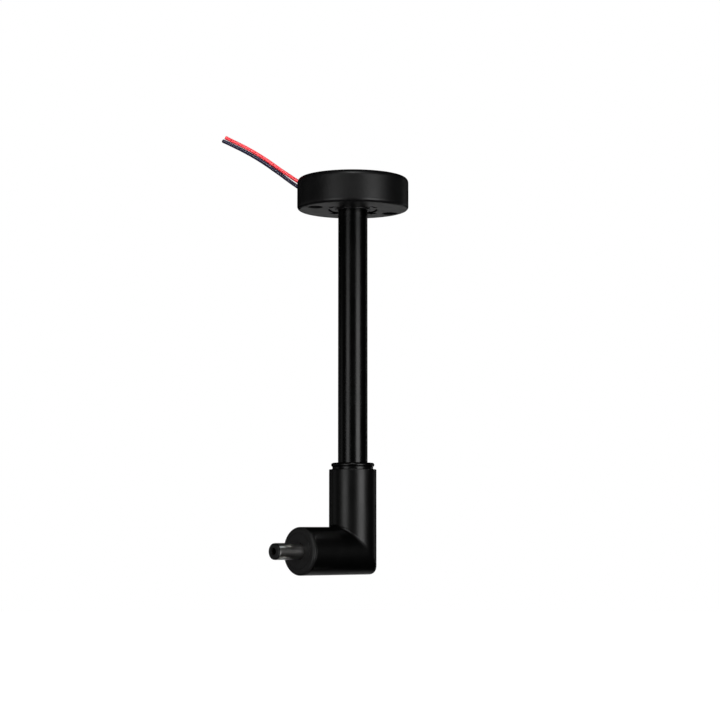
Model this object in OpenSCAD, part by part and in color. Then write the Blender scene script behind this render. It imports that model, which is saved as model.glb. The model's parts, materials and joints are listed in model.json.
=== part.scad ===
// Ceiling drop stem with a swivelling elbow and a round power plug.
// Millimetres, +Z up. The origin is the centre of the face that meets the ceiling.
// The elbow's arm points along -X and turns about the tube's axis, which is Z.

/* [Base] */
// Diameter of the round base
base_d = 38; // [36:1:44]
// Height of the base
base_h = 11; // [10:0.5:12]
// Thickness of the base's floor
floor_t = 2.4; // [2.2:0.1:2.6]
// Rounding of the base's upper edge
top_round = 1.7; // [0.8:0.1:1.7]
// Rounding of the base's lower edge
bottom_round = 1.2; // [0.6:0.1:1.4]
// Circle that the two ceiling screw holes lie on
screw_circle_d = 29; // [28:0.5:29]
// Diameter of each ceiling screw hole
screw_hole_d = 3.4; // [3:0.1:3.6]
// Diameter of each countersink at the underside
countersink_d = 5.4; // [4.6:0.1:6]
// Direction of the first ceiling screw hole, from +X
screw_angle = -13; // [-20:1:0]

/* [Tube] */
// Outside diameter of the tube
tube_d = 10; // [10:0.1:10.2]
// Inside diameter of the tube
tube_bore_d = 7.5; // [7:0.1:8]
// Distance from the ceiling to the top of the elbow's collar
drop = 97.2; // [80:0.2:300]
// Diameter of the slotted ring let into the underside of the base
flange_ring_d = 16; // [14:0.5:17]

/* [Elbow] */
// Outside diameter of the elbow's sleeve and arm
elbow_d = 16; // [16:0.1:17]
// Distance from the elbow's top edge to the arm's axis
sleeve_h = 27.4; // [26:0.1:32]
// Distance from the tube's axis to the arm's flat face
arm_reach = 24; // [23:0.5:30]
// Diameter of the rounded collar
collar_d = 14.6; // [14:0.1:15]
// Height of the rounded collar
collar_h = 1.4; // [1.2:0.1:1.8]

/* [Plug] */
// Outside diameter of the plug's metal barrel
plug_d = 5.5; // [5:0.5:5.5]
// Diameter of the hole for the centre pin
plug_hole_d = 2.1; // [2:0.1:2.2]
// How far the plug stands out of the arm's face
plug_out = 10.5; // [9:0.1:12]

/* [Leads] */
// Outside diameter of each lead
lead_d = 1.3; // [1.1:0.1:1.3]
// Direction in which the leads leave the base, from +X
lead_angle = 117; // [114:1:120]

/* [Hidden] */
$fn = 96;
eps = 0.01;
snug = 0.03; // radial clearance of threads and pressed pieces
running = 0.06; // radial clearance of the collar on the tube
face_gap = 0.05; // gap between faces that turn on each other

base_r = base_d / 2;
tube_r = tube_d / 2;
tube_bore_r = tube_bore_d / 2;
elbow_r = elbow_d / 2;
lead_r = lead_d / 2;

plate_t = 1;
plate_r = base_r - 1.9;
ledge_r = plate_r + 0.1;
cavity_r = base_r - 2.6;
floor_z = -base_h + floor_t;
boss_r = 3.4;
screw_r = screw_circle_d / 2;
plate_screw_angle = 77;
plate_screw_boss_r = 2.2;
small_screw_r = 0.8;
small_head_r = 1.5;
small_head_h = 0.7;

washer_t = 0.5;
nut_t = 2.2;
nut_flats = 14;
nut_z = floor_z + washer_t;
tube_top_z = nut_z + nut_t + 0.3;
bush_lip_t = 0.5;
bush_hole_r = 2.4;
flange_ring_t = 0.9;
seal_ring_t = 0.3;
seal_ring_r = 6.1;
ring_recess_r = flange_ring_d / 2 + 0.4;
ring_recess_h = flange_ring_t + seal_ring_t;
ring_notch_w = 3; // notches round the recess, in line with the ring's slots
ring_notch_r = ring_recess_r + 2;
ring_slot_angle = 3;

lead_z = -2.7; // height of the leads in the clamp
lead_bend_r = 2.4;
lead_x = 0.9; // each lead's distance from the tube's axis
clamp_in_r = 10.5;
clamp_out_r = 14;
clamp_w = 8.4;
clamp_screw_t = 2.9;
clamp_parting_z = lead_z - lead_r - 0.05;
notch_w = 3.2;
notch_z = -4;

elbow_top_z = -drop - collar_h - 0.8;
arm_z = elbow_top_z - sleeve_h;
sleeve_bore_r = 6.6;
lower_bore_r = tube_r + 0.3;
arm_bore_end_x = 2;
spigot_h = 4;
thrust_t = 0.6;
flange_t = 3;
flange_top_z = elbow_top_z - spigot_h - thrust_t - face_gap;
flange_bottom_z = flange_top_z - flange_t;
lower_thrust_z = flange_bottom_z - face_gap - thrust_t;
wave_h = 0.7;
wave_t = 0.25;
shoulder_z = lower_thrust_z - wave_h;
flange_r = 6.2;
washer_in_r = tube_r + 0.1;
washer_out_r = 6.35;
tube_end_z = shoulder_z - 4;
tab_top_z = tube_end_z + 2.5;
tab_half_angle = 10;
stop_pin_r = 0.6;
stop_pin_z = (tab_top_z + tube_end_z) / 2;
stop_pin_in = 3.9;
stop_pin_out = 7.2;
flange_pin_r = 0.5;

cap_t = 1.2;
cap_round = 0.9;
cap_spigot_x = -arm_reach + 7.5;
cap_pocket_r = 4.5;
cap_pocket_x = -arm_reach + 4.5;
cap_groove_r = 5.8;
cap_groove_w = 0.35;
cap_groove_h = 0.2;
plug_r = plug_d / 2;
barrel_end_x = -arm_reach - plug_out + 0.8;
tip_x = -arm_reach - plug_out;
barrel_wall = 0.4;
shank_r = plug_r + 0.25; // the barrel is thicker where the cap holds it
shank_step = 0.5;
insulator_r = plug_r - barrel_wall - 0.02;
socket_r = 1.45;
socket_bore_r = plug_hole_d / 2;
shoulder_t = 1;
plug_nut_t = 1.4;
plug_nut_end_x = cap_pocket_x + shoulder_t + plug_nut_t;
barrel_back_x = plug_nut_end_x + 0.7;
tag_t = 0.5;
tag_z = 3.5;
cup_end_x = barrel_back_x + 3.2;
tag_end_x = barrel_back_x + 4.2;

// Routes of the free leads: distance from the tube's axis along lead_angle,
// distance to the side, and height. They start in the clamp and end cut.
red_route = [
  [14, -0.8, -2.7], [15.2, -0.8, -2.7], [17, -0.6, -1.9], [19, -0.4, -0.6], [21.5, -0.4, 1],
  [24, -0.4, 2.7], [26.5, -0.4, 4.4], [29, -0.4, 6.2], [31.5, -0.4, 8],
  [34, -0.4, 9.7], [36.5, -0.4, 11.3], [39, -0.4, 12.8], [41.5, -0.4, 14.2],
  [44, -0.4, 15.5], [46.5, -0.4, 16.8], [48.7, -0.4, 18]
];
black_route = [
  [14, 0.8, -2.7], [15.2, 0.8, -2.7], [17, 0.6, -3], [19, 0.4, -2.4], [21.5, 0.4, -0.8],
  [24, 0.4, 1], [26.5, 0.4, 2.9], [29, 0.4, 4.7], [31.5, 0.4, 6.5],
  [34, 0.4, 8.2], [36.5, 0.4, 9.8], [39, 0.4, 11.3], [41.5, 0.4, 12.7],
  [44, 0.4, 14], [46.5, 0.4, 15.3], [49.4, 0.4, 16.7]
];

// Points on a quarter circle of the given centre, from one angle to another.
function arc(centre, radius, from, to, steps = 6) =
  [for (i = [0:steps]) let (a = from + (to - from) * i / steps)
    centre + radius * [cos(a), sin(a)]];

// Flat ring about Z, standing on height z.
module ring(outer_r, inner_r, height, z = 0) {
  translate([0, 0, z])
    difference() {
      cylinder(r = outer_r, h = height);
      translate([0, 0, -1])
        cylinder(r = inner_r, h = height + 2);
    }
}

// Solid cylinder along X, from x0 to x1.
module rod_x(radius, x0, x1) {
  translate([x0, 0, 0])
    rotate([0, 90, 0])
      cylinder(r = radius, h = x1 - x0);
}

// Ring along X, from x0 to x1.
module ring_x(outer_r, inner_r, x0, x1) {
  difference() {
    rod_x(outer_r, x0, x1);
    rod_x(inner_r, x0 - 1, x1 + 1);
  }
}

// Moves its children to the arm's axis.
module on_arm() {
  translate([0, 0, arm_z])
    children();
}

// Repeats its children at two opposite places on a circle.
module opposite_pair(angle, radius) {
  for (turn = [0, 180])
    rotate([0, 0, angle + turn])
      translate([radius, 0, 0])
        children();
}

// Countersunk screw, head up, its flat top at z = 0.
module countersunk_screw(length) {
  difference() {
    union() {
      translate([0, 0, -small_head_h])
        cylinder(r1 = small_screw_r, r2 = small_head_r, h = small_head_h);
      translate([0, 0, -length])
        cylinder(r = small_screw_r, h = length);
    }
    for (turn = [0, 90])
      rotate([0, 0, turn])
        translate([-0.9, -0.15, -0.4])
          cube([1.8, 0.3, 1]);
  }
}

// Outline of the base, revolved: a flat disc with rounded upper and lower edges.
module base_body() {
  lower = arc([base_r - bottom_round, -base_h + bottom_round], bottom_round, -90, 0);
  upper = arc([base_r - top_round, -top_round], top_round, 0, 90);
  rotate_extrude()
    polygon(concat([[0, -base_h]], lower, upper, [[0, 0]]));
}

// Hollow of the base, with its bosses left standing.
module base_hollow() {
  translate([0, 0, -plate_t])
    cylinder(r = ledge_r, h = plate_t + 1);
  difference() {
    translate([0, 0, floor_z])
      cylinder(r = cavity_r, h = -floor_z);
    opposite_pair(screw_angle, screw_r)
      translate([0, 0, floor_z - 1])
        cylinder(r = boss_r, h = -floor_z + 1 - plate_t);
    opposite_pair(plate_screw_angle, screw_r)
      translate([0, 0, floor_z - 1])
        cylinder(r = plate_screw_boss_r, h = -floor_z + 1 - plate_t);
    rotate([0, 0, lead_angle])
      translate([clamp_in_r, -clamp_w / 2, floor_z - 1])
        cube([clamp_out_r - clamp_in_r, clamp_w, clamp_parting_z - floor_z + 1]);
  }
}

// Round recess with four notches in the underside, for the flange ring.
module ring_recess() {
  translate([0, 0, -base_h - 1])
    cylinder(r = ring_recess_r, h = ring_recess_h + 1);
  for (turn = [0, 90])
    rotate([0, 0, ring_slot_angle + turn])
      translate([-ring_notch_r, -ring_notch_w / 2, -base_h - 1])
        cube([2 * ring_notch_r, ring_notch_w, ring_recess_h + 1]);
}

module base_housing() {
  color("#1b1b1c")
    difference() {
      base_body();
      base_hollow();
      translate([0, 0, -base_h - 1])
        cylinder(r = tube_r + snug, h = base_h);
      ring_recess();
      opposite_pair(screw_angle, screw_r) {
        translate([0, 0, -base_h - 1])
          cylinder(d = screw_hole_d, h = base_h + 1);
        translate([0, 0, -base_h - eps])
          cylinder(d1 = countersink_d, d2 = screw_hole_d, h = (countersink_d - screw_hole_d) / 2);
      }
      opposite_pair(plate_screw_angle, screw_r)
        translate([0, 0, -5.5])
          cylinder(r = small_screw_r + snug, h = 5);
      rotate([0, 0, lead_angle]) {
        for (side = [-1, 1])
          translate([(clamp_in_r + clamp_out_r) / 2, side * clamp_screw_t, -6.4])
            cylinder(r = small_screw_r + snug, h = 4);
        translate([cavity_r - 1, -notch_w / 2, notch_z])
          cube([5, notch_w, 5]);
      }
    }
}

module back_plate() {
  color("#242426")
    difference() {
      translate([0, 0, -plate_t])
        cylinder(r = plate_r, h = plate_t);
      opposite_pair(screw_angle, screw_r)
        translate([0, 0, -2])
          cylinder(d = screw_hole_d, h = 3);
      opposite_pair(plate_screw_angle, screw_r) {
        translate([0, 0, -2])
          cylinder(r = small_screw_r + snug, h = 3);
        translate([0, 0, -small_head_h])
          cylinder(r1 = small_screw_r + snug, r2 = small_head_r + snug, h = small_head_h + eps);
      }
      rotate([0, 0, lead_angle])
        translate([plate_r - 1.6, -notch_w / 2, -2])
          cube([5, notch_w, 3]);
    }
}

module back_plate_screws() {
  color("silver")
    opposite_pair(plate_screw_angle, screw_r)
      countersunk_screw(5);
}

module flange_ring() {
  slot_w = 2;
  slot_depth = 1.3;
  ring_z = -base_h + seal_ring_t;
  color("#1f1f20")
    difference() {
      ring(flange_ring_d / 2, tube_r + snug, flange_ring_t, ring_z);
      for (turn = [0:90:270])
        rotate([0, 0, ring_slot_angle + turn])
          translate([flange_ring_d / 2 - slot_depth, -slot_w / 2, ring_z - 1])
            cube([slot_depth + 1, slot_w, flange_ring_t + 2]);
    }
}

module seal_ring() {
  color("#8a8a8c")
    ring(seal_ring_r, tube_r + snug, seal_ring_t, -base_h);
}

module lock_washer() {
  teeth = 12;
  root_r = 6.6;
  tip_r = 7.4;
  tooth_w = 1.6;
  color("silver")
    difference() {
      union() {
        translate([0, 0, floor_z])
          cylinder(r = root_r, h = washer_t);
        for (i = [1:teeth])
          rotate([0, 0, i * 360 / teeth])
            translate([root_r - 1, -tooth_w / 2, floor_z])
              cube([tip_r - root_r + 1, tooth_w, washer_t]);
      }
      translate([0, 0, floor_z - 1])
        cylinder(r = tube_r + snug, h = washer_t + 2);
    }
}

module lock_nut() {
  color("silver")
    difference() {
      translate([0, 0, nut_z])
        cylinder(d = nut_flats / cos(30), h = nut_t, $fn = 6);
      translate([0, 0, nut_z - 1])
        cylinder(r = tube_r + snug, h = nut_t + 2);
    }
}

module stem_tube() {
  color("#171718")
    difference() {
      translate([0, 0, tube_end_z])
        cylinder(r = tube_r, h = tube_top_z - tube_end_z);
      translate([0, 0, tube_end_z - 1])
        cylinder(r = tube_bore_r, h = tube_top_z - tube_end_z + 2);
      // The lower edge is cut away except for the tab that meets the stop pin.
      translate([0, 0, tube_end_z - 1])
        rotate([0, 0, tab_half_angle])
          rotate_extrude(angle = 360 - 2 * tab_half_angle)
            translate([tube_bore_r - 1, 0])
              square([tube_r - tube_bore_r + 2, tab_top_z - tube_end_z + 1]);
      flange_pin_hole();
    }
}

module flange_pin_hole() {
  translate([0, 0, flange_top_z - flange_t / 2])
    rotate([-90, 0, 0])
      cylinder(r = flange_pin_r + 0.01, h = flange_r + 1);
}

module tube_bush() {
  sleeve_z = tube_top_z - 3;
  color("#3a3a3a")
    difference() {
      union() {
        translate([0, 0, tube_top_z])
          cylinder(r = tube_r, h = bush_lip_t);
        translate([0, 0, sleeve_z])
          cylinder(r = tube_bore_r - snug, h = 3 + eps);
      }
      translate([0, 0, sleeve_z - 1])
        cylinder(r = bush_hole_r, h = 6);
    }
}

module lead_clamp() {
  clamp_top_z = -1.2;
  channel_w = 3.1;
  screw_x = (clamp_in_r + clamp_out_r) / 2;
  color("#2c2c2e")
    rotate([0, 0, lead_angle])
      difference() {
        translate([clamp_in_r, -clamp_w / 2, clamp_parting_z])
          cube([clamp_out_r - clamp_in_r, clamp_w, clamp_top_z - clamp_parting_z]);
        translate([clamp_in_r - 1, -channel_w / 2, clamp_parting_z - 1])
          cube([clamp_out_r - clamp_in_r + 2, channel_w, 1 + lead_d + 0.1]);
        for (side = [-1, 1])
          translate([screw_x, side * clamp_screw_t, clamp_parting_z - 1]) {
            cylinder(r = small_screw_r + snug, h = 5);
            translate([0, 0, clamp_top_z - clamp_parting_z + 1 - small_head_h])
              cylinder(r1 = small_screw_r + snug, r2 = small_head_r + snug, h = small_head_h + eps);
          }
      }
}

module clamp_screws() {
  color("silver")
    rotate([0, 0, lead_angle])
      for (side = [-1, 1])
        translate([(clamp_in_r + clamp_out_r) / 2, side * clamp_screw_t, -1.2])
          countersunk_screw(4.8);
}

// Lead from the clamp along the base, then down the tube. x is its place in the tube.
module inner_lead(x) {
  along = x * cos(lead_angle);
  bend_x = along + lead_bend_r;
  translate([x, 0, 0])
    rotate([0, 0, lead_angle]) {
      translate([lead_bend_r, 0, lead_z])
        rotate([0, 90, 0])
          cylinder(r = lead_r, h = clamp_out_r - bend_x, $fn = 32);
      translate([lead_bend_r, 0, lead_z - lead_bend_r])
        rotate([90, 0, 180])
          rotate_extrude(angle = 90, $fn = 32)
            translate([lead_bend_r, 0])
              circle(r = lead_r, $fn = 32);
      translate([0, 0, tube_end_z + 0.1])
        cylinder(r = lead_r, h = lead_z - lead_bend_r - tube_end_z - 0.1, $fn = 32);
    }
}

module inner_red_lead() {
  color("#e04048")
    inner_lead(lead_x);
}

module inner_black_lead() {
  color("#26263a")
    inner_lead(-lead_x);
}

// Closed tube with 8 sides along a route; its rings stand square to the route.
module swept_lead(route) {
  sides = 8;
  last = len(route) - 1;
  side_axis = [0, 1, 0];
  rings = [for (i = [0:last])
    let (
      ahead = route[min(i + 1, last)] - route[max(i - 1, 0)],
      across = cross(ahead, side_axis),
      u = across / norm(across),
      v = cross(ahead, u) / norm(ahead)
    )
    [for (k = [0:sides - 1]) let (a = 360 * k / sides)
      route[i] + lead_r * (cos(a) * u + sin(a) * v)]];
  points = [for (r = rings) for (p = r) p];
  walls = [for (i = [0:last - 1]) for (k = [0:sides - 1]) let (n = (k + 1) % sides)
    [i * sides + k, i * sides + n, (i + 1) * sides + n, (i + 1) * sides + k]];
  start_cap = [[for (k = [sides - 1:-1:0]) k]];
  end_cap_face = [[for (k = [0:sides - 1]) last * sides + k]];
  rotate([0, 0, lead_angle])
    polyhedron(points = points, faces = concat(walls, start_cap, end_cap_face));
}

module red_lead() {
  color("#fa4a50")
    swept_lead(red_route);
}

module black_lead() {
  color("#2a2846")
    swept_lead(black_route);
}

module lead_guide() {
  color("#3a3a3a")
    ring(tube_bore_r - snug, bush_hole_r, 4.5, tab_top_z + 0.3);
}

module swivel_flange() {
  color("silver")
    difference() {
      ring(flange_r, tube_r + snug, flange_t, flange_bottom_z);
      flange_pin_hole();
    }
}

module flange_pin() {
  color("silver")
    translate([0, tube_bore_r + snug, flange_top_z - flange_t / 2])
      rotate([-90, 0, 0])
        cylinder(r = flange_pin_r, h = flange_r - tube_bore_r - 2 * snug, $fn = 32);
}

// Half of space on one side of the mitre plane.
module mitre_half(side) {
  size = 80;
  on_arm()
    rotate([0, 45, 0])
      translate([-size / 2, -size / 2, side > 0 ? 0 : -size])
        cube(size);
}

module elbow_outer() {
  top = elbow_top_z;
  low = arm_z - elbow_r - 1;
  intersection() {
    translate([0, 0, low])
      cylinder(r = elbow_r, h = top - low);
    mitre_half(1);
  }
  intersection() {
    on_arm()
      rod_x(elbow_r, -arm_reach + cap_t, elbow_r + 1);
    mitre_half(-1);
  }
}

module elbow_housing() {
  color("#161617")
    difference() {
      elbow_outer();
      translate([0, 0, shoulder_z])
        cylinder(r = sleeve_bore_r, h = elbow_top_z - shoulder_z + 1);
      translate([0, 0, arm_z])
        cylinder(r = lower_bore_r, h = shoulder_z - arm_z + 1);
      on_arm()
        rod_x(sleeve_bore_r, -arm_reach, arm_bore_end_x);
      translate([0, 0, stop_pin_z])
        rod_x(stop_pin_r + 0.01, -stop_pin_out, -tube_r);
    }
}

module gland_collar() {
  bead_r = collar_h / 2;
  bead_z = elbow_top_z + 0.8;
  neck_r = collar_d / 2 - 0.4;
  inner = tube_r + running;
  bead = arc([collar_d / 2 - bead_r, bead_z + bead_r], bead_r, -90, 90, 8);
  color("#1c1c1d")
    rotate_extrude()
      polygon(concat(
        [[inner, elbow_top_z - spigot_h], [sleeve_bore_r - snug, elbow_top_z - spigot_h],
         [sleeve_bore_r - snug, elbow_top_z], [neck_r, elbow_top_z], [neck_r, bead_z]],
        bead,
        [[inner, bead_z + collar_h]]));
}

module upper_thrust_washer() {
  color("#e8e6de")
    ring(washer_out_r, washer_in_r, thrust_t, elbow_top_z - spigot_h - thrust_t);
}

module lower_thrust_washer() {
  color("#e8e6de")
    ring(washer_out_r, washer_in_r, thrust_t, lower_thrust_z);
}

// Thin ring bent into three waves, between the shoulder and the lower washer.
module wave_washer() {
  steps = 60;
  waves = 3;
  inner = washer_in_r + 0.1;
  outer = washer_out_r - 0.1;
  mid_z = shoulder_z + wave_h / 2;
  swing = (wave_h - wave_t) / 2 - 0.01;
  points = [for (i = [0:steps - 1])
    let (a = 360 * i / steps, z = mid_z + swing * sin(waves * a))
    for (corner = [[inner, -wave_t / 2], [outer, -wave_t / 2], [outer, wave_t / 2], [inner, wave_t / 2]])
      [corner[0] * cos(a), corner[0] * sin(a), z + corner[1]]];
  faces = [for (i = [0:steps - 1]) for (k = [0:3])
    let (n = (i + 1) % steps, m = (k + 1) % 4)
    [i * 4 + k, n * 4 + k, n * 4 + m, i * 4 + m]];
  triangles = [for (f = faces) for (t = [[f[0], f[2], f[1]], [f[0], f[3], f[2]]]) t];
  color("silver")
    polyhedron(points = points, faces = triangles);
}

module stop_pin() {
  color("silver")
    translate([0, 0, stop_pin_z])
      rod_x(stop_pin_r, -stop_pin_out + 0.02, -stop_pin_in);
}

module end_cap() {
  face = arc([elbow_r - cap_round, cap_round], cap_round, -90, 0, 6);
  groove = [[cap_groove_r, 0], [cap_groove_r, cap_groove_h],
            [cap_groove_r + cap_groove_w, cap_groove_h], [cap_groove_r + cap_groove_w, 0]];
  spigot_h_cap = cap_spigot_x + arm_reach;
  pocket_h = cap_pocket_x + arm_reach;
  spigot_r = sleeve_bore_r - snug;
  bore = shank_r + snug;
  color("#1d1d1e")
    on_arm()
      translate([-arm_reach, 0, 0])
        rotate([0, 90, 0])
          rotate_extrude()
            polygon(concat(
              [[bore, 0]], groove, face,
              [[elbow_r, cap_t - 0.2], [elbow_r - 0.2, cap_t], [spigot_r, cap_t],
               [spigot_r, spigot_h_cap], [cap_pocket_r, spigot_h_cap],
               [cap_pocket_r, pocket_h], [bore, pocket_h]]));
}

module plug_sleeve() {
  color("#a6a6a8")
    on_arm()
      difference() {
        union() {
          rod_x(plug_r, barrel_end_x, -arm_reach + shank_step);
          rod_x(shank_r, -arm_reach, barrel_back_x);
          rod_x(cap_pocket_r - 0.6, cap_pocket_x, cap_pocket_x + shoulder_t);
        }
        rod_x(plug_r - barrel_wall, barrel_end_x - 1, barrel_back_x + 1);
      }
}

module plug_tip() {
  lip_r = plug_r - 0.05;
  lip_round = 0.4;
  lip_h = barrel_end_x - tip_x;
  length = barrel_back_x + 0.4 - tip_x;
  bore = socket_r + 0.02;
  mouth_r = socket_bore_r + 0.15;
  mouth_h = 0.4;
  front = arc([lip_r - lip_round, lip_round], lip_round, -90, 0, 5);
  color("#101011")
    on_arm()
      translate([tip_x, 0, 0])
        rotate([0, 90, 0])
          rotate_extrude()
            polygon(concat(
              [[mouth_r, 0]], front,
              [[lip_r, lip_h], [insulator_r, lip_h], [insulator_r, length],
               [bore, length], [bore, mouth_h], [mouth_r, mouth_h]]));
}

module plug_pin_socket() {
  mouth_h = 0.4;
  bore_depth = 11;
  cup_r = 1.1;
  cup_bore_r = 0.7;
  cup_depth = 1.6;
  color("#c8b070")
    on_arm()
      difference() {
        union() {
          rod_x(socket_r, tip_x + mouth_h, barrel_back_x + 0.4);
          rod_x(cup_r, barrel_back_x, cup_end_x);
        }
        rod_x(socket_bore_r, tip_x - 1, tip_x + mouth_h + bore_depth);
        rod_x(cup_bore_r, cup_end_x - cup_depth, cup_end_x + 1);
      }
}

module plug_nut() {
  slot_w = 1;
  color("silver")
    on_arm()
      difference() {
        ring_x(cap_pocket_r - snug, shank_r + snug, cap_pocket_x + shoulder_t, plug_nut_end_x);
        for (turn = [0, 90])
          rotate([turn, 0, 0])
            translate([plug_nut_end_x - 0.5, -cap_pocket_r - 1, -slot_w / 2])
              cube([1, 2 * cap_pocket_r + 2, slot_w]);
      }
}

module sleeve_tag() {
  tag_w = 1.6;
  color("#d0b878")
    on_arm() {
      ring_x(cap_pocket_r - 0.3, shank_r + snug, plug_nut_end_x, plug_nut_end_x + tag_t);
      translate([plug_nut_end_x + tag_t - eps, -tag_w / 2, tag_z - tag_t / 2])
        cube([tag_end_x - plug_nut_end_x - tag_t + eps, tag_w, tag_t]);
    }
}

// Lead from the swivel down to the arm, round a bend, and along to end_x.
module arm_lead(x, bend_r, z, end_x) {
  bend_z = z + bend_r;
  translate([x, 0, bend_z])
    cylinder(r = lead_r, h = tube_end_z - bend_z, $fn = 32);
  translate([x - bend_r, 0, bend_z])
    rotate([90, 0, 0])
      rotate([0, 0, -90])
        rotate_extrude(angle = 90, $fn = 32)
          translate([bend_r, 0])
            circle(r = lead_r, $fn = 32);
  translate([end_x, 0, z])
    rotate([0, 90, 0])
      cylinder(r = lead_r, h = x - bend_r - end_x, $fn = 32);
}

module arm_red_lead() {
  color("#e04048")
    arm_lead(lead_x, 6, arm_z, cup_end_x);
}

module arm_black_lead() {
  color("#26263a")
    arm_lead(-lead_x, 4, arm_z + tag_z, tag_end_x);
}

module red_heat_shrink() {
  color("#b02028")
    on_arm()
      ring_x(1.35, 1.15, cup_end_x - 2, cup_end_x - 0.1);
}

module black_heat_shrink() {
  sleeve_r = 0.9;
  color("#202022")
    on_arm()
      translate([0, 0, tag_z])
        ring_x(sleeve_r, lead_r + 0.02, tag_end_x + 0.1, tag_end_x + 2.4);
}

base_housing();
back_plate();
back_plate_screws();
flange_ring();
seal_ring();
lock_washer();
lock_nut();
stem_tube();
tube_bush();
lead_clamp();
clamp_screws();
inner_red_lead();
inner_black_lead();
red_lead();
black_lead();
lead_guide();
swivel_flange();
flange_pin();
elbow_housing();
gland_collar();
upper_thrust_washer();
lower_thrust_washer();
wave_washer();
stop_pin();
end_cap();
plug_sleeve();
plug_tip();
plug_pin_socket();
plug_nut();
sleeve_tag();
arm_red_lead();
arm_black_lead();
red_heat_shrink();
black_heat_shrink();
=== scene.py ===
import json
import math

import bpy
import bmesh
from mathutils import Matrix, Vector


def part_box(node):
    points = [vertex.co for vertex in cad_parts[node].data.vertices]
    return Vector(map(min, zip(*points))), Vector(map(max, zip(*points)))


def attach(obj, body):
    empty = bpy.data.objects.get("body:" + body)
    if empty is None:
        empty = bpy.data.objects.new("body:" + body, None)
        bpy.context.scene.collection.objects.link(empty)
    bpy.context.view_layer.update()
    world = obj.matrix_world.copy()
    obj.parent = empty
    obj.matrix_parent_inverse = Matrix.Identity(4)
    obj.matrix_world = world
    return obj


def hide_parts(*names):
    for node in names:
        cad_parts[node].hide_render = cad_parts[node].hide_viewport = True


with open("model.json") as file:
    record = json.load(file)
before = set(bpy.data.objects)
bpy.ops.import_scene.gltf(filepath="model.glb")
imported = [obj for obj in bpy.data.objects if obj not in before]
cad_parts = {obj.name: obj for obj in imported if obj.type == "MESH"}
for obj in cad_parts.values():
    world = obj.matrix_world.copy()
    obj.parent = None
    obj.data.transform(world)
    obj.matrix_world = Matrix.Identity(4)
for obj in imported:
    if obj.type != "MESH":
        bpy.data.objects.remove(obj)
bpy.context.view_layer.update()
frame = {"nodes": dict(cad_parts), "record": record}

MM = 0.001
STEM, ELBOW = "stem", "elbow"
SEGMENTS = 144          # round a whole turn of a turned piece
SMOOTH_BELOW = math.radians(32)


# ---------------------------------------------------------------- frame sizes, in mm

def span(node):
    """Lowest and highest corner of a node, in mm."""
    low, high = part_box(node)
    return [v / MM for v in low], [v / MM for v in high]


BASE_LOW, BASE_HIGH = span("base_housing")
PLATE_LOW, PLATE_HIGH = span("back_plate")
TUBE_LOW, TUBE_HIGH = span("stem_tube")
RING_LOW, RING_HIGH = span("flange_ring")
SEAL_LOW, SEAL_HIGH = span("seal_ring")
ELBOW_LOW, ELBOW_HIGH = span("elbow_housing")
GLAND_LOW, GLAND_HIGH = span("gland_collar")
CAP_LOW, CAP_HIGH = span("end_cap")
SLEEVE_LOW, SLEEVE_HIGH = span("plug_sleeve")
TIP_LOW, TIP_HIGH = span("plug_tip")
SOCKET_LOW, SOCKET_HIGH = span("plug_pin_socket")
WAVE_LOW = span("wave_washer")[0]

BASE_R = BASE_HIGH[0]
BASE_Z = BASE_LOW[2]
TUBE_R = TUBE_HIGH[0]
ELBOW_R = ELBOW_HIGH[0]
ARM_Z = ELBOW_LOW[2] + ELBOW_R
SHOULDER_Z = WAVE_LOW[2] - 0.01   # floor of the sleeve's bore, under the wave washer
FACE_X = CAP_LOW[0]

THREAD_GAP = 0.03      # between a thread and its bore, both plain
ELBOW_BORE_R = 6.6     # in the sleeve and in the arm
SPIGOT_R = ELBOW_BORE_R - THREAD_GAP   # of the collar and of the end cap
BARREL_R = 2.75        # outer contact of a 5.5 mm plug
SHANK_R = BARREL_R + 0.25          # its thicker stretch, behind the cap's lip
LIP_T = 0.35           # thickness of the cap's lip, which hides the barrel's step
POCKET_D = 4.5         # from the cap's face to its pocket, where the barrel's flange sits
PILOT_R = 0.83         # holes for the small screws

# Directions seen from above, in degrees from +X
SCREW_ANGLE, SCREW_R = -13, 14.5
PLATE_SCREW_ANGLE = 77
LEAD_ANGLE = 117
LEAD_R = 0.65
NOTCH_ANGLES = (3, 93, 183, 273)   # of the recess under the base, and of the ring's slots

# Routes of the free leads: distance from the tube's axis along LEAD_ANGLE, distance to
# the side, and height, in metres.
RED_ROUTE = [
    (0.014, -0.0008, -0.0027), (0.0152, -0.0008, -0.0027), (0.017, -0.0006, -0.0019),
    (0.019, -0.0004, -0.0006), (0.0215, -0.0004, 0.001), (0.024, -0.0004, 0.0027),
    (0.0265, -0.0004, 0.0044), (0.029, -0.0004, 0.0062), (0.0315, -0.0004, 0.008),
    (0.034, -0.0004, 0.0097), (0.0365, -0.0004, 0.0113), (0.039, -0.0004, 0.0128),
    (0.0415, -0.0004, 0.0142), (0.044, -0.0004, 0.0155), (0.0465, -0.0004, 0.0168),
    (0.0487, -0.0004, 0.018),
]
BLACK_ROUTE = [
    (0.014, 0.0008, -0.0027), (0.0152, 0.0008, -0.0027), (0.017, 0.0006, -0.003),
    (0.019, 0.0004, -0.0024), (0.0215, 0.0004, -0.0008), (0.024, 0.0004, 0.001),
    (0.0265, 0.0004, 0.0029), (0.029, 0.0004, 0.0047), (0.0315, 0.0004, 0.0065),
    (0.034, 0.0004, 0.0082), (0.0365, 0.0004, 0.0098), (0.039, 0.0004, 0.0113),
    (0.0415, 0.0004, 0.0127), (0.044, 0.0004, 0.014), (0.0465, 0.0004, 0.0153),
    (0.0494, 0.0004, 0.0167),
]


# ---------------------------------------------------------------- camera

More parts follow.
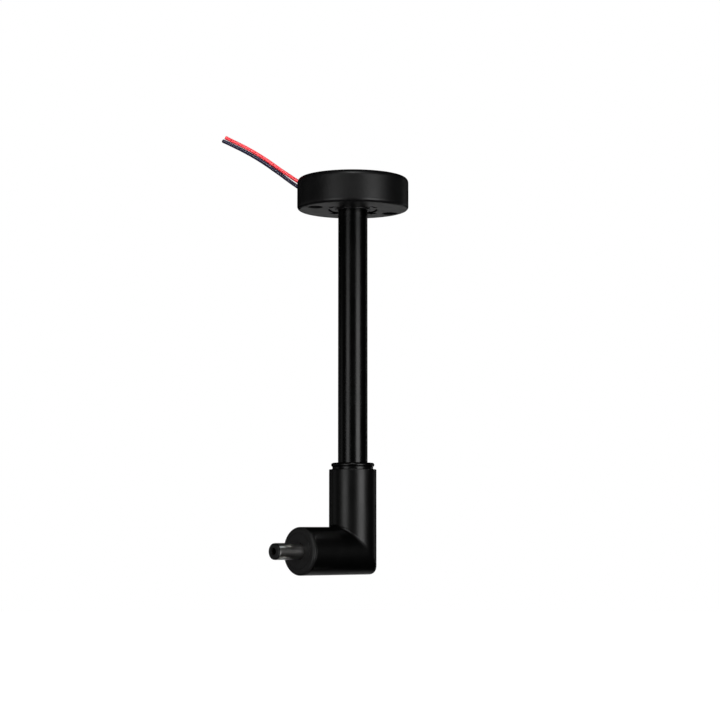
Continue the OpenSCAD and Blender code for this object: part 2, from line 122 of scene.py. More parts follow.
CAMERA_AZIMUTH = -41.83    # turn about Z, degrees
CAMERA_TILT = 4.953        # up from level, degrees
CAMERA_DISTANCE = 670.9    # from the tube's axis, mm
CAMERA_SIDE = 2.45         # right of the tube's axis, mm
CAMERA_HEIGHT = -120.45    # mm
CAMERA_LENS = 99.21        # on a 36 mm sensor


def make_camera():
    """Sets the camera up, and returns the level directions to its right and ahead of it."""
    turn = math.radians(CAMERA_AZIMUTH)
    right = Vector((math.cos(turn), math.sin(turn), 0))
    ahead = Vector((-math.sin(turn), math.cos(turn), 0))
    data = bpy.data.cameras.new("camera")
    data.lens = CAMERA_LENS
    data.sensor_width = 36
    data.clip_start = 0.01
    data.clip_end = 50
    camera = bpy.data.objects.new("camera", data)
    place = right * CAMERA_SIDE - ahead * CAMERA_DISTANCE + Vector((0, 0, CAMERA_HEIGHT))
    camera.location = place * MM
    camera.rotation_euler = (math.radians(90 + CAMERA_TILT), 0, turn)
    bpy.context.scene.collection.objects.link(camera)
    bpy.context.scene.camera = camera
    return right, ahead


RIGHT, AHEAD = make_camera()


# ---------------------------------------------------------------- node materials

def new_material(name, color, roughness, metallic=0.0, specular=0.5):
    """A principled material with object coordinates; its constant values sit on the shader."""
    material = bpy.data.materials.new(name)
    material.use_nodes = True
    tree = material.node_tree
    shader = tree.nodes["Principled BSDF"]
    shader.inputs["Base Color"].default_value = (*color, 1)
    shader.inputs["Roughness"].default_value = roughness
    shader.inputs["Metallic"].default_value = metallic
    shader.inputs["Specular IOR Level"].default_value = specular
    place = tree.nodes.new("ShaderNodeTexCoord")
    return material, tree, shader, place.outputs["Object"]


def noise(tree, place, size_mm, detail=3.0, rough=0.55, stretch=None):
    """Noise with features about size_mm across; stretch scales it along each axis."""
    if stretch:
        mapping = tree.nodes.new("ShaderNodeMapping")
        mapping.inputs["Scale"].default_value = stretch
        tree.links.new(place, mapping.inputs["Vector"])
        place = mapping.outputs["Vector"]
    node = tree.nodes.new("ShaderNodeTexNoise")
    node.inputs["Scale"].default_value = 1 / (size_mm * MM)
    node.inputs["Detail"].default_value = detail
    node.inputs["Roughness"].default_value = rough
    tree.links.new(place, node.inputs["Vector"])
    return node.outputs["Fac"]


def remap(tree, value, low, high):
    """Spreads the middle of a noise, where most of it lies, over low to high."""
    node = tree.nodes.new("ShaderNodeMapRange")
    node.inputs["From Min"].default_value = 0.3
    node.inputs["From Max"].default_value = 0.7
    node.inputs["To Min"].default_value = low
    node.inputs["To Max"].default_value = high
    tree.links.new(value, node.inputs["Value"])
    return node.outputs["Result"]


def mix_color(tree, factor, first, second):
    """First colour where the factor is 0, second where it is 1."""
    node = tree.nodes.new("ShaderNodeMix")
    node.data_type = "RGBA"     # whose sockets go by number: other types share their names
    node.inputs[6].default_value = (*first, 1)
    node.inputs[7].default_value = (*second, 1)
    tree.links.new(factor, node.inputs[0])
    return node.outputs[2]


def bump(tree, shader, height, depth_mm, strength=1.0, under=None):
    """Puts a relief on the shader, over the relief that lies under it, if any."""
    node = tree.nodes.new("ShaderNodeBump")
    node.inputs["Distance"].default_value = depth_mm * MM
    node.inputs["Strength"].default_value = strength
    tree.links.new(height, node.inputs["Height"])
    if under:
        tree.links.new(under, node.inputs["Normal"])
    tree.links.new(node.outputs["Normal"], shader.inputs["Normal"])
    return node.outputs["Normal"]


def coated(name, color, roughness, specular, grain_mm, grain_depth):
    """Satin powder coat: orange peel, patchy gloss and a few dusty specks."""
    material, tree, shader, place = new_material(name, color, roughness, 0, specular)
    patches = noise(tree, place, 9, 4)
    specks = noise(tree, place, 0.25, 2, 0.7)
    lighter = tuple(c * 1.8 for c in color)
    tree.links.new(mix_color(tree, remap(tree, patches, 0, 1), color, lighter),
                   shader.inputs["Base Color"])
    gloss = tree.nodes.new("ShaderNodeMath")
    gloss.operation = "ADD"
    tree.links.new(remap(tree, patches, roughness - 0.03, roughness + 0.03), gloss.inputs[0])
    tree.links.new(remap(tree, specks, -0.02, 0.02), gloss.inputs[1])
    tree.links.new(gloss.outputs[0], shader.inputs["Roughness"])
    peel = bump(tree, shader, noise(tree, place, grain_mm, 2, 0.45), grain_depth)
    bump(tree, shader, specks, grain_depth * 0.35, 1.0, peel)
    return material


def moulded(name, color, roughness, specular, grain_mm=0.22, grain_depth=0.008):
    """Moulded plastic with a fine spark-eroded grain."""
    material, tree, shader, place = new_material(name, color, roughness, 0, specular)
    patches = noise(tree, place, 6, 3)
    lighter = tuple(min(1, c * 1.5) for c in color)
    tree.links.new(mix_color(tree, remap(tree, patches, 0, 1), color, lighter),
                   shader.inputs["Base Color"])
    tree.links.new(remap(tree, patches, roughness - 0.04, roughness + 0.04),
                   shader.inputs["Roughness"])
    cells = tree.nodes.new("ShaderNodeTexVoronoi")
    cells.inputs["Scale"].default_value = 1 / (grain_mm * MM)
    tree.links.new(place, cells.inputs["Vector"])
    pits = bump(tree, shader, cells.outputs["Distance"], grain_depth)
    bump(tree, shader, noise(tree, place, 1.6, 2), grain_depth, 0.5, pits)
    return material


def turned_metal(name, color, roughness, stretch, line_depth=0.0006, dulled=0.6, patchy=0.05):
    """Plated or turned metal: fine tool lines across the stretch axis, dull patches."""
    material, tree, shader, place = new_material(name, color, roughness, 1.0)
    lines = noise(tree, place, 3, 2, 0.6, stretch)
    patches = noise(tree, place, 2.4, 4)
    darker = tuple(c * dulled for c in color)
    tree.links.new(mix_color(tree, remap(tree, patches, 0, 1), color, darker),
                   shader.inputs["Base Color"])
    tree.links.new(remap(tree, patches, roughness - patchy, roughness + 2 * patchy),
                   shader.inputs["Roughness"])
    bump(tree, shader, lines, line_depth)
    return material


def pvc(name, color, roughness, specular, shade=0.75):
    """Soft extruded insulation: long shallow waves and a faint dusty mottle."""
    material, tree, shader, place = new_material(name, color, roughness, 0, specular)
    mottle = noise(tree, place, 2.2, 3, 0.5)
    darker = tuple(c * shade for c in color)
    tree.links.new(mix_color(tree, remap(tree, mottle, 0, 1), color, darker),
                   shader.inputs["Base Color"])
    tree.links.new(remap(tree, mottle, roughness - 0.06, roughness + 0.06),
                   shader.inputs["Roughness"])
    waves = bump(tree, shader, noise(tree, place, 1.8, 2), 0.02, 0.6)
    bump(tree, shader, noise(tree, place, 0.4, 2), 0.001, 1.0, waves)
    return material


ALONG_X, ALONG_Z, EVEN = (20, 1, 1), (1, 1, 20), (6, 6, 6)
LOOKS = {
    "base_plastic": moulded("look_base", (0.003, 0.003, 0.0032), 0.40, 0.55),
    "inner_plastic": moulded("look_inner", (0.02, 0.02, 0.021), 0.5, 0.35),
    "ring_black": coated("look_ring", (0.004, 0.004, 0.004), 0.3, 0.8, 0.3, 0.002),
    "tube_black": coated("look_tube", (0.0006, 0.0006, 0.0006), 0.25, 0.37, 0.45, 0.004),
    "elbow_black": coated("look_elbow", (0.0006, 0.0006, 0.0006), 0.36, 0.45, 0.5, 0.006),
    "collar_black": coated("look_collar", (0.001, 0.001, 0.001), 0.28, 0.35, 0.3, 0.002),
    "cap_black": moulded("look_cap", (0.008, 0.008, 0.0082), 0.45, 0.35, 0.18, 0.004),
    "nickel": turned_metal("look_nickel", (0.6, 0.59, 0.58), 0.32, EVEN, 0.0001, 0.93, 0.01),
    "plug_plastic": moulded("look_tip", (0.006, 0.006, 0.0062), 0.4, 0.4, 0.15, 0.002),
    # the contact's colour is far darker than brass: painted shade of the deep hole it sits in
    "contact_brass": turned_metal("look_shaded_contact", (0.035, 0.03, 0.024), 0.42, ALONG_X),
    "screw_steel": turned_metal("look_steel", (0.56, 0.565, 0.58), 0.33, EVEN),
    "brass_ring": turned_metal("look_brass", (0.66, 0.47, 0.2), 0.32, ALONG_Z),
    "nylon": moulded("look_nylon", (0.72, 0.7, 0.63), 0.45, 0.4),
    "lead_red": pvc("look_red", (0.93, 0.06, 0.075), 0.42, 0.4, 0.88),
    "lead_dark": pvc("look_dark", (0.016, 0.015, 0.045), 0.42, 0.4, 0.7),
    "shrink_red": pvc("look_shrink_red", (0.35, 0.012, 0.016), 0.35, 0.45),
    "shrink_black": pvc("look_shrink_black", (0.012, 0.012, 0.012), 0.35, 0.45),
}
COPPER = turned_metal("look_copper", (0.75, 0.36, 0.2), 0.3, EVEN)
# Darker copy of the nickel for the seal ring: painted shade of the recess under the ring nut
SHADED_NICKEL = turned_metal("look_shaded_nickel", (0.13, 0.13, 0.132), 0.45, EVEN)


# ---------------------------------------------------------------- mesh making

def polish(thing):
    """Brings a mesh made in mm to metres, and shades it smooth between its hard edges."""
    mesh = thing.data
    mesh.transform(Matrix.Scale(MM, 4))
    for face in mesh.polygons:
        face.use_smooth = True
    mesh.set_sharp_from_angle(angle=SMOOTH_BELOW)
    weighted = thing.modifiers.new("normals", "WEIGHTED_NORMAL")
    weighted.keep_sharp = True
    weighted.weight = 60


def add_object(name, data):
    """Puts an object with this mesh or curve in the scene."""
    thing = bpy.data.objects.new(name, data)
    bpy.context.scene.collection.objects.link(thing)
    return thing


def add_piece(thing, body, slot, *nodes):
    """Gives a made piece its body, its slot's look and the CAD nodes it stands for."""
    thing.data.materials.clear()
    thing.data.materials.append(LOOKS[slot])
    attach(thing, body)
    if nodes:
        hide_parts(*nodes)
    return thing


def mesh_object(name, points, faces):
    """Mesh from points in mm, with its normals turned outward."""
    mesh = bpy.data.meshes.new(name)
    mesh.from_pydata(points, [], faces)
    work = bmesh.new()
    work.from_mesh(mesh)
    bmesh.ops.remove_doubles(work, verts=work.verts, dist=1e-4)
    bmesh.ops.recalc_face_normals(work, faces=work.faces)
    work.to_mesh(mesh)
    work.free()
    return add_object(name, mesh)


def rounded(corners, steps=8):
    """Closed outline with each corner (x, y, radius) turned into an arc."""
    outline = []
    count = len(corners)
    for i, (x, y, radius) in enumerate(corners):
        corner = Vector((x, y))
        if radius <= 0:
            outline.append((x, y))
            continue
        before = (Vector(corners[i - 1][:2]) - corner).normalized()
        after = (Vector(corners[(i + 1) % count][:2]) - corner).normalized()
        half = before.angle(after) / 2
        start = corner + before * (radius / math.tan(half))
        end = corner + after * (radius / math.tan(half))
        centre = corner + (before + after).normalized() * (radius / math.sin(half))
        a, b = start - centre, end - centre
        sweep = a.angle_signed(b)
        for k in range(steps + 1):
            turn = -sweep * k / steps
            outline.append((
                centre.x + a.x * math.cos(turn) - a.y * math.sin(turn),
                centre.y + a.x * math.sin(turn) + a.y * math.cos(turn)))
    return outline


def lathe(name, corners, along_x=False, segments=SEGMENTS, steps=8):
    """Turns a closed outline (radius, place, rounding) about Z, or about the arm's axis."""
    outline = rounded(corners, steps)
    points, faces = [], []
    for i in range(segments):
        turn = 2 * math.pi * i / segments
        for r, h in outline:
            if along_x:
                points.append((h, r * math.cos(turn), ARM_Z + r * math.sin(turn)))
            else:
                points.append((r * math.cos(turn), r * math.sin(turn), h))
    n = len(outline)
    for i in range(segments):
        for k in range(n):
            j, m = (i + 1) % segments, (k + 1) % n
            faces.append((i * n + k, i * n + m, j * n + m, j * n + k))
    return mesh_object(name, points, faces)


def rod(radius, start, end, segments=64, end_radius=None):
    """Closed cylinder or cone between two points in mm, to cut or join with."""
    work = bmesh.new()
    start, end = Vector(start), Vector(end)
    axis = end - start
    turn = axis.to_track_quat("Z", "Y").to_matrix().to_4x4()
    bmesh.ops.create_cone(
        work, cap_ends=True, segments=segments, radius1=radius,
        radius2=radius if end_radius is None else end_radius, depth=axis.length,
        matrix=Matrix.Translation((start + end) / 2) @ turn)
    return tool_object(work)


def block(size, centre, turn_deg=0.0):
    """Closed box in mm, turned about Z round the origin, to cut or join with."""
    work = bmesh.new()
    turn = Matrix.Rotation(math.radians(turn_deg), 4, "Z")
    scale = Matrix.Diagonal((*size, 1))
    bmesh.ops.create_cube(work, size=1, matrix=turn @ Matrix.Translation(centre) @ scale)
    return tool_object(work)


def tool_object(work):
    """Object to cut or join with, from a bmesh, which it frees."""
    mesh = bpy.data.meshes.new("tool")
    work.to_mesh(mesh)
    work.free()
    return add_object("tool", mesh)


def combine(thing, operation, tools):
    """Cuts the tools from the thing, or joins them to it, and removes the tools."""
    for tool in tools:
        step = thing.modifiers.new("step", "BOOLEAN")
        step.operation = operation
        step.solver = "MANIFOLD"
        step.object = tool
    bpy.context.view_layer.update()
    graph = bpy.context.evaluated_depsgraph_get()
    mesh = bpy.data.meshes.new_from_object(thing.evaluated_get(graph))
    thing.modifiers.clear()
    thing.data = mesh
    for tool in tools:
        bpy.data.objects.remove(tool)
    return thing


def at(angle, radius, z):
    """Point at a radius from the tube's axis, in a direction seen from above."""
    turn = math.radians(angle)
    return (radius * math.cos(turn), radius * math.sin(turn), z)


# ---------------------------------------------------------------- base

def make_base():
    """Cup with a notched recess underneath, bosses and pads inside, and a notch for the leads."""
    wall, floor_t, bottom_round, top_round = 2.6, 2.4, 1.2, 1.7
    hole_r, countersink_r, boss_r, small_boss_r = 1.7, 2.75, 3.4, 2.2
    clamp_out, clamp_side = 12.25, 2.9      # the clamp's screws, out along the leads and aside
    pad, lead_notch, ring_notch = (3.5, 8.4), (5, 3.2, 5), (4, 3)
    ledge_r, ledge_z = PLATE_HIGH[0] + 0.1, PLATE_LOW[2]
    cavity_r, floor_z = BASE_R - wall, BASE_Z + floor_t
    bore_r = TUBE_R + THREAD_GAP
    recess_r, recess_z = RING_HIGH[0] + 0.4, RING_HIGH[2]
    screw_angles = (SCREW_ANGLE, SCREW_ANGLE + 180)
    plate_angles = (PLATE_SCREW_ANGLE, PLATE_SCREW_ANGLE + 180)
    shell = lathe("base_shell", [
        (bore_r, recess_z, 0), (recess_r, recess_z, 0), (recess_r, BASE_Z, 0.12),
        (BASE_R, BASE_Z, bottom_round), (BASE_R, 0, top_round), (ledge_r, 0, 0.15),
        (ledge_r, ledge_z, 0), (cavity_r, ledge_z, 0), (cavity_r, floor_z, 0.4),
        (bore_r, floor_z, 0)], segments=192)

    foot_z, boss_top = floor_z - 1, ledge_z - 0.001
    bosses = [rod(boss_r, at(a, SCREW_R, foot_z), at(a, SCREW_R, boss_top))
              for a in screw_angles]
    bosses += [rod(small_boss_r, at(a, SCREW_R, foot_z), at(a, SCREW_R, boss_top), 40)
               for a in plate_angles]
    pad_top = span("lead_clamp")[0][2]
    bosses.append(block((*pad, pad_top - foot_z),
                        (clamp_out, 0, (pad_top + foot_z) / 2), LEAD_ANGLE))
    combine(shell, "UNION", bosses)

    cuts = []
    for a in screw_angles:
        cuts.append(rod(hole_r, at(a, SCREW_R, BASE_Z - 1), at(a, SCREW_R, 1)))
        cuts.append(rod(countersink_r, at(a, SCREW_R, BASE_Z - 0.05), at(a, SCREW_R, BASE_Z + 1),
                        64, hole_r))
    for a in plate_angles:
        cuts.append(rod(PILOT_R, at(a, SCREW_R, -5.5), at(a, SCREW_R, 0), 32))
    for side in (-clamp_side, clamp_side):
        a = LEAD_ANGLE + math.degrees(math.atan2(side, clamp_out))
        reach = math.hypot(clamp_out, side)
        cuts.append(rod(PILOT_R, at(a, reach, -6.4), at(a, reach, 0), 32))
    cuts.append(block(lead_notch, (cavity_r + 1.5, 0, -1.5), LEAD_ANGLE))
    notch_h = recess_z - BASE_Z + 1
    for a in NOTCH_ANGLES:
        cuts.append(block((*ring_notch, notch_h), (recess_r, 0, recess_z - notch_h / 2), a))
    combine(shell, "DIFFERENCE", cuts)
    polish(shell)
    add_piece(shell, STEM, "base_plastic", "base_housing")


def make_flange_ring():
    """Ring nut in the base's recess, with a slot in its rim at each of the recess's notches."""
    bore_r, outer = TUBE_R + THREAD_GAP, RING_HIGH[0]
    bottom, top, slot = RING_LOW[2], RING_HIGH[2], (2.6, 2, 3)
    nut = lathe("ring_nut", [
        (bore_r, bottom, 0.15), (outer, bottom, 0.3), (outer, top, 0), (bore_r, top, 0)])
    slots = [block(slot, (outer, 0, (bottom + top) / 2), a) for a in NOTCH_ANGLES]
    combine(nut, "DIFFERENCE", slots)
    polish(nut)
    add_piece(nut, STEM, "ring_black", "flange_ring")


def make_seal_ring():
    """Thin ring round the tube, under the ring nut, in a darker copy of the nickel: painted shade
    of its recess.
    """
    bore_r, outer = TUBE_R + THREAD_GAP, SEAL_HIGH[0]
    bottom, top = SEAL_LOW[2], SEAL_HIGH[2]
    ring = lathe("junction_ring", [
        (bore_r, bottom, 0.08), (outer, bottom, 0.14), (outer, top, 0.14), (bore_r, top, 0)])
    polish(ring)
    add_piece(ring, STEM, "nickel", "seal_ring")
    # the darker nickel copy paints the shade of the recess onto the ring
    ring.data.materials[0] = SHADED_NICKEL


def make_tube():
    """Tube whose lowest stretch is cut away but for the tab that meets the stop pin."""
    bore, bottom, top = 3.75, TUBE_LOW[2], TUBE_HIGH[2]
    tab_top, tab_half = bottom + 2.5, 10     # half the tab's width is in degrees
    tube = lathe("stem_pipe", [
        (bore, bottom, 0), (TUBE_R, bottom, 0), (TUBE_R, top, 0.25), (bore, top, 0.25)])
    inner, outer, steps = 2, 6, 48
    section = [(inner, bottom - 1), (outer, bottom - 1), (outer, tab_top), (inner, tab_top)]
    wedge = []
    for i in range(steps + 1):
        turn = math.radians(tab_half + (360 - 2 * tab_half) * i / steps)
        wedge += [(r * math.cos(turn), r * math.sin(turn), z) for r, z in section]
    faces = [(0, 1, 2, 3), tuple(steps * 4 + k for k in (3, 2, 1, 0))]
    for i in range(steps):
        for k in range(4):
            m = (k + 1) % 4
            faces.append((i * 4 + k, (i + 1) * 4 + k, (i + 1) * 4 + m, i * 4 + m))
    pin_z, pin_hole_r = sum(corner[2] for corner in span("flange_pin")) / 2, 0.51
    combine(tube, "DIFFERENCE", [
        mesh_object("wedge", wedge, faces),
        rod(pin_hole_r, (0, 0, pin_z), (0, 8, pin_z), 32)])
    polish(tube)
    add_piece(tube, STEM, "tube_black", "stem_tube")


# ---------------------------------------------------------------- elbow

def quarter(steps, last=True):
    """Sine and cosine at even steps over a quarter turn."""
    angles = [math.pi / 2 * k / steps for k in range(steps + 1 if last else steps)]
    return [(math.sin(a), math.cos(a)) for a in angles]


def make_elbow():
    """Sleeve and arm as one skin: each fibre runs down the sleeve, round and along the arm."""
    round_r, rim_r, steps = 1.0, 0.25, 6
    inner_r = ELBOW_R - rim_r
    top, end_x = ELBOW_HIGH[2], ELBOW_LOW[0]
    points, faces = [], []
    for i in range(SEGMENTS):
        turn = 2 * math.pi * i / SEGMENTS
        c, s = math.cos(turn), math.sin(turn)
        x, y = ELBOW_R * c, ELBOW_R * s
        for sine, cosine in quarter(steps, last=False):
            r = inner_r + rim_r * sine
            points.append((r * c, r * s, top - rim_r + rim_r * cosine))
        points.append((x, y, top - rim_r))
        corner_z = ARM_Z - x
        for sine, cosine in quarter(steps):
            points.append((x - round_r + round_r * cosine, y,
                           corner_z + round_r - round_r * sine))
        for sine, cosine in quarter(steps):
            r = inner_r + rim_r * cosine
            points.append((end_x + rim_r - rim_r * sine, r * s, ARM_Z - r * c))
    fibre = len(points) // SEGMENTS
    for i in range(SEGMENTS):
        j = (i + 1) % SEGMENTS
        for k in range(fibre - 1):
            faces.append((i * fibre + k, i * fibre + k + 1, j * fibre + k + 1, j * fibre + k))
    faces.append(tuple(i * fibre for i in range(SEGMENTS)))
    faces.append(tuple(i * fibre + fibre - 1 for i in range(SEGMENTS)))
    elbow = mesh_object("elbow_body", points, faces)

    pin_low, pin_high = span("stop_pin")
    pin_z, pin_hole_r = (pin_low[2] + pin_high[2]) / 2, 0.61
    lower_bore_r = TUBE_R + 0.3
    combine(elbow, "DIFFERENCE", [
        rod(ELBOW_BORE_R, (0, 0, SHOULDER_Z), (0, 0, top + 1), 96),
        rod(lower_bore_r, (0, 0, ARM_Z), (0, 0, SHOULDER_Z + 1), 96),
        rod(ELBOW_BORE_R, (end_x - 1, 0, ARM_Z), (2, 0, ARM_Z), 96),
        rod(pin_hole_r, (pin_low[0] - 0.02, 0, pin_z), (-TUBE_R, 0, pin_z), 32)])
    polish(elbow)
    add_piece(elbow, ELBOW, "elbow_black", "elbow_housing")


def make_collar():
    """Rounded bead on a narrower neck, with a spigot that goes down into the sleeve."""
    low, high = GLAND_LOW[2], GLAND_HIGH[2]
    bore, bead_r, bead_h, bead_round = TUBE_R + 0.06, GLAND_HIGH[0], 1.4, 0.69
    neck_r, sleeve_top = bead_r - 0.4, ELBOW_HIGH[2]
    collar = lathe("swivel_collar", [
        (bore, low, 0.1), (SPIGOT_R, low, 0.3), (SPIGOT_R, sleeve_top, 0),
        (neck_r, sleeve_top, 0), (neck_r, high - bead_h, 0),
        (bead_r, high - bead_h, bead_round), (bead_r, high, bead_round), (bore, high, 0.12)])
    polish(collar)
    add_piece(collar, ELBOW, "collar_black", "gland_collar")


def make_end_cap():
    """Flat face with a rounded rim, a thin groove and a lip round the barrel."""
    seam_x, spigot_x = ELBOW_LOW[0], CAP_HIGH[0]
    lip_x, pocket_x = FACE_X + LIP_T, FACE_X + POCKET_D
    lip_r, bore, pocket_r = BARREL_R + THREAD_GAP, SHANK_R + THREAD_GAP, 4.5
    groove_r, groove_w, groove_x = 5.8, 0.35, FACE_X + 0.12
    cap = lathe("face_cap", [
        (bore, lip_x, 0), (lip_r, lip_x, 0), (lip_r, FACE_X, 0.15),
        (groove_r, FACE_X, 0.1), (groove_r, groove_x, 0),
        (groove_r + groove_w, groove_x, 0), (groove_r + groove_w, FACE_X, 0.1),
        (ELBOW_R, FACE_X, 0.9), (ELBOW_R, seam_x - 0.2, 0.08), (ELBOW_R - 0.2, seam_x, 0),
        (SPIGOT_R, seam_x, 0), (SPIGOT_R, spigot_x, 0.2), (pocket_r, spigot_x, 0),
        (pocket_r, pocket_x, 0), (bore, pocket_x, 0)], along_x=True)
    polish(cap)
    add_piece(cap, ELBOW, "cap_black", "end_cap")


# ---------------------------------------------------------------- plug

def make_plug():
    """Nickelled barrel, the black insulator in it, and the hollow inner contact."""
    front, back = SLEEVE_LOW[0], SLEEVE_HIGH[0]
    bore, flange_r = BARREL_R - 0.4, 3.9
    step_x, flange_x = FACE_X + LIP_T + 0.02, FACE_X + POCKET_D
    barrel = lathe("barrel", [
        (bore, front, 0.04), (BARREL_R, front, 0.1), (BARREL_R, step_x, 0),
        (SHANK_R, step_x, 0.08), (SHANK_R, flange_x, 0), (flange_r, flange_x, 0),
        (flange_r, flange_x + 1, 0), (SHANK_R, flange_x + 1, 0), (SHANK_R, back, 0.05),
        (bore, back, 0)], along_x=True, steps=6)
    polish(barrel)
    add_piece(barrel, ELBOW, "nickel", "plug_sleeve")

    tip_x, tip_back = TIP_LOW[0], TIP_HIGH[0]
    lip_r, body_r, mouth_r, core_r = BARREL_R - 0.05, bore - 0.02, 1.2, 1.47
    tip = lathe("barrel_tip", [
        (mouth_r, tip_x, 0.12), (lip_r, tip_x, 0.4), (lip_r, front, 0), (body_r, front, 0),
        (body_r, tip_back, 0), (core_r, tip_back, 0), (core_r, tip_x + 0.4, 0),
        (mouth_r, tip_x + 0.4, 0)], along_x=True, steps=6)
    polish(tip)
    add_piece(tip, ELBOW, "plug_plastic", "plug_tip")

    mouth_x, end_x = SOCKET_LOW[0], SOCKET_HIGH[0]
    hole_r, outer_r, hole_end = 1.05, 1.45, mouth_x + 11
    cup_r, cup_outer_r, cup_x = 0.7, 1.1, end_x - 1.6
    axis_r = 0.01      # closes a blind hole without a point on the axis
    socket = lathe("pin_socket", [
        (axis_r, hole_end, 0), (hole_r, hole_end, 0), (hole_r, mouth_x, 0.12),
        (outer_r, mouth_x, 0.05), (outer_r, tip_back, 0.05), (cup_outer_r, tip_back, 0),
        (cup_outer_r, end_x, 0.06), (cup_r, end_x, 0.06), (cup_r, cup_x, 0),
        (axis_r, cup_x, 0)], along_x=True, segments=64, steps=4)
    polish(socket)
    add_piece(socket, ELBOW, "contact_brass", "plug_pin_socket")


# ---------------------------------------------------------------- leads

def lead_point(point):
    """Turns a route point into the frame, in metres."""
    turn = math.radians(LEAD_ANGLE)
    out, side, z = point
    return Vector((out * math.cos(turn) - side * math.sin(turn),
                   out * math.sin(turn) + side * math.cos(turn), z))


def bare_strands(name, end, heading):
    """Bundle of seven copper strands of uneven length that stands out of a cut end."""
    strand_r, round_count = 0.11, 6
    buried = 0.0004      # inside the insulation, in metres
    across = heading.cross(Vector((0, 0, 1))).normalized()
    up = heading.cross(across)
    places = [Vector((0, 0, 0))]
    for i in range(round_count):
        turn = 2 * math.pi * i / round_count
        places.append((across * math.cos(turn) + up * math.sin(turn)) * strand_r * 2.1)
    strands = []
    for i, place in enumerate(places):
        foot = (end - heading * buried) / MM + place
        tip = end / MM + place + heading * (0.3 - 0.07 * (i % 3))
        strands.append(rod(strand_r, foot, tip, 12))
    core = strands.pop()
    work = bmesh.new()
    work.from_mesh(core.data)
    for strand in strands:
        work.from_mesh(strand.data)
        bpy.data.objects.remove(strand)
    work.to_mesh(core.data)
    work.free()
    core.name = name
    polish(core)
    core.data.materials.append(COPPER)
    return core


def make_lead(name, route, slot, node):
    """Insulation along the route, and a bundle of copper strands at the cut end."""
    bare = 0.0006        # the insulation ends this much before the route does, in metres
    points = [lead_point(p) for p in route]
    heading = (points[-1] - points[-2]).normalized()
    points[-1] = points[-1] - heading * bare
    curve = bpy.data.curves.new(name, "CURVE")
    curve.dimensions = "3D"
    curve.bevel_depth = LEAD_R * MM
    curve.bevel_resolution = 7
    curve.resolution_u = 8
    curve.use_fill_caps = True
    line = curve.splines.new("BEZIER")
    line.bezier_points.add(len(points) - 1)
    for knot, point in zip(line.bezier_points, points):
        knot.co = point
        knot.handle_left_type = knot.handle_right_type = "AUTO"
    lead = add_object(name, curve)
    add_piece(lead, STEM, slot, node)

    core = bare_strands(name + "_core", points[-1], heading)
    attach(core, STEM)


# ---------------------------------------------------------------- scene

def dress_cad_nodes():
    """Gives each CAD node that stays in view its slot's look."""
    for part in frame["record"]["subparts"]:
        thing = frame["nodes"][part["node"]]
        for i in range(len(thing.material_slots)):
            thing.material_slots[i].material = LOOKS[part["material_slot"]]


def make_floor():
    """Wide white disc below the object, which glows a little and takes no part in reflections."""
    drop, radius, count = 170, 4000, 96
    z = ELBOW_LOW[2] - drop
    turns = [2 * math.pi * i / count for i in range(count)]
    points = [(radius * math.cos(turn), radius * math.sin(turn), z) for turn in turns]
    floor = mesh_object("floor", points, [tuple(range(count))])
    floor.data.transform(Matrix.Scale(MM, 4))
    material, _, shader, _ = new_material("look_floor", (0.8, 0.8, 0.8), 0.9)
    shader.inputs["Emission Color"].default_value = (1, 1, 1, 1)
    shader.inputs["Emission Strength"].default_value = 1.0
    floor.data.materials.append(material)
    floor.visible_glossy = False
    floor.visible_diffuse = False


def make_world():
    """White for the camera, and a dim even light for surfaces, without reflections."""
    world = bpy.data.worlds.new("studio")
    bpy.context.scene.world = world
    world.use_nodes = True
    tree = world.node_tree
    tree.nodes.clear()
    out = tree.nodes.new("ShaderNodeOutputWorld")
    seen = tree.nodes.new("ShaderNodeBackground")
    seen.inputs["Strength"].default_value = 1.0
    seen.inputs["Color"].default_value = (1, 1, 1, 1)
    light = tree.nodes.new("ShaderNodeBackground")
    light.inputs["Strength"].default_value = 0.5
    light.inputs["Color"].default_value = (1, 1, 1, 1)
    rays = tree.nodes.new("ShaderNodeLightPath")
    mix = tree.nodes.new("ShaderNodeMixShader")
    tree.links.new(rays.outputs["Is Camera Ray"], mix.inputs["Fac"])
    tree.links.new(light.outputs["Background"], mix.inputs[1])
    tree.links.new(seen.outputs["Background"], mix.inputs[2])
    tree.links.new(mix.outputs["Shader"], out.inputs["Surface"])
    world.cycles_visibility.glossy = False


def panel(name, azimuth, distance, z, width, height, watts, tilt_z=None):
    """Soft box at an azimuth from the camera, right positive. It aims level, or at tilt_z."""
    turn = math.radians(azimuth)
    place = (RIGHT * math.sin(turn) - AHEAD * math.cos(turn)) * distance + Vector((0, 0, z))
    data = bpy.data.lights.new(name, "AREA")
    data.shape = "RECTANGLE"
    data.size, data.size_y = width, height
    data.energy = watts
    lamp = bpy.data.objects.new(name, data)
    lamp.location = place
    aim = Vector((0, 0, z if tilt_z is None else tilt_z)) - place
    lamp.rotation_euler = aim.to_track_quat("-Z", "Y").to_euler()
    bpy.context.scene.collection.objects.link(lamp)


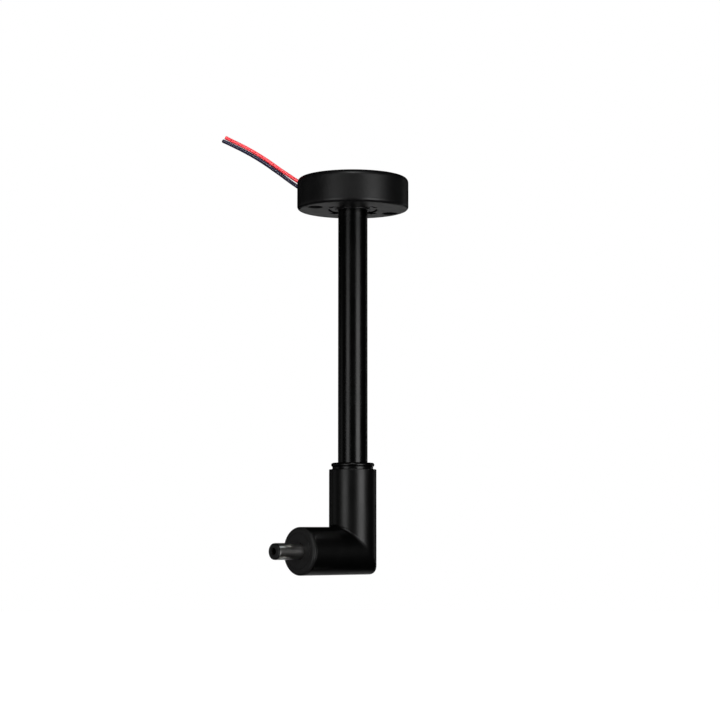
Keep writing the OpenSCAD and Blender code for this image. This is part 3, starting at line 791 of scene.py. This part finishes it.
def spot(name, middle, heading, spread_deg, soft_mm, watts):
    """Narrow soft lamp, in a direction from the point that it shines on."""
    distance = 0.5
    data = bpy.data.lights.new(name, "SPOT")
    data.spot_size = math.radians(spread_deg)
    data.spot_blend = 0.6
    data.shadow_soft_size = soft_mm * MM
    data.energy = watts
    lamp = bpy.data.objects.new(name, data)
    lamp.location = middle + heading.normalized() * distance
    lamp.rotation_euler = (middle - lamp.location).to_track_quat("-Z", "Y").to_euler()
    bpy.context.scene.collection.objects.link(lamp)


def make_lights():
    """Soft boxes round the object, and three small lamps: on the leads and on the barrel."""
    # azimuth in degrees, distance and z, width and height, watts, height of its aim
    panel("left_box", -38, 1.0, -0.35, 0.42, 0.9, 2.8)
    panel("right_box", 42, 1.0, -0.35, 0.55, 0.9, 6.0)
    panel("left_side", -98, 1.0, -0.2, 0.4, 0.5, 0.15)
    panel("left_rim", -130, 1.0, -0.25, 0.1, 0.7, 0.05)
    panel("right_rim", 135, 1.0, -0.1, 0.15, 0.6, 0.12)
    panel("top_front", 0, 1.1, 0.9, 0.5, 0.5, 4.0, -0.06)
    panel("under_back", 180, 0.7, -0.8, 0.5, 0.5, 0.2, -0.06)
    panel("under_low", 170, 1.1, -0.45, 0.8, 0.2, 0.45, -0.01)
    spot("lead_lamp", lead_point((0.038, 0, 0.012)),
         -AHEAD - RIGHT * 0.4 + Vector((0, 0, 0.6)), 5, 25, 10.0)
    # one light line along the upper side of the barrel, and one along its lower side
    barrel = Vector((TIP_LOW[0] + 0.5, 0, ARM_Z)) * MM
    spot("barrel_top", barrel, Vector((0.667, -0.25, 0.743)), 1.6, 12, 0.62)
    spot("barrel_low", barrel, Vector((0.667, 0.08, -0.74)), 1.5, 12, 9.0)


make_base()
make_flange_ring()
make_seal_ring()
make_tube()
make_elbow()
make_collar()
make_end_cap()
make_plug()
make_lead("red_wire", RED_ROUTE, "lead_red", "red_lead")
make_lead("dark_wire", BLACK_ROUTE, "lead_dark", "black_lead")
dress_cad_nodes()
make_floor()
make_world()
make_lights()
bpy.context.scene.view_settings.view_transform = "Standard"

bpy.context.view_layer.update()
